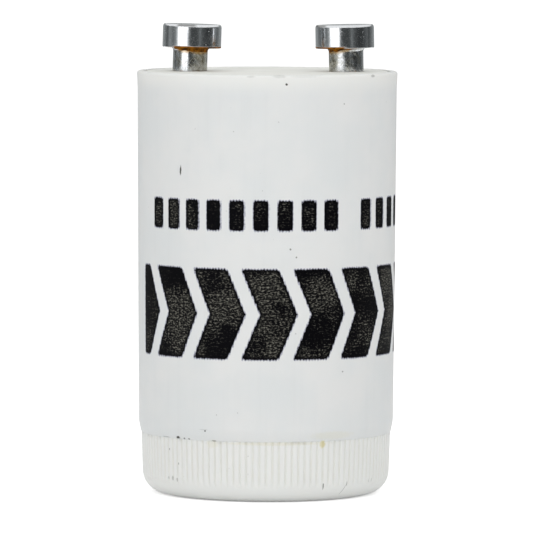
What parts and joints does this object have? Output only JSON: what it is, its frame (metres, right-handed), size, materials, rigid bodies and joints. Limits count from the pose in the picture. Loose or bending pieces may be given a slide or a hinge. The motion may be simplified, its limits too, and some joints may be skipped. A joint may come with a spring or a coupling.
{
  "type": "fluorescent starter",
  "caption": "Plug-in glow starter for a fluorescent tube: a slightly tapered plastic can with a ribbed grip band at its closed end and headed contact pins at the other.",
  "frame": {"origin": "centre of the closed, ribbed end of the can, which is the face that the starter stands on", "axes": "+Z along the can towards the contact pins; the pins stand side by side along X; -Y faces the picture's viewer"},
  "size_m": [0.0216, 0.0216, 0.0387],
  "materials": {
    "white_can": "satin moulded white",
    "white_disc": "satin warm white",
    "plated_pin": "worn bright plating",
    "solder": "dull grey",
    "tinned_wire": "tinned",
    "bulb_glass": "clear, polished",
    "electrode_metal": "oxidised",
    "bimetal": "rolled strip",
    "capacitor_coat": "dipped"
  },
  "bodies": {
    "root": {"canister": "white_can", "base_disc": "white_disc", "contact_pin_left": "plated_pin", "contact_pin_right": "plated_pin", "solder_left": "solder", "solder_right": "solder", "lamp_wire_left": "tinned_wire", "lamp_wire_right": "tinned_wire", "capacitor_wire_left": "tinned_wire", "capacitor_wire_right": "tinned_wire", "glow_lamp_bulb": "bulb_glass", "fixed_electrode": "electrode_metal", "bimetal_strip": "bimetal", "capacitor": "capacitor_coat"}
  },
  "joints": []
}
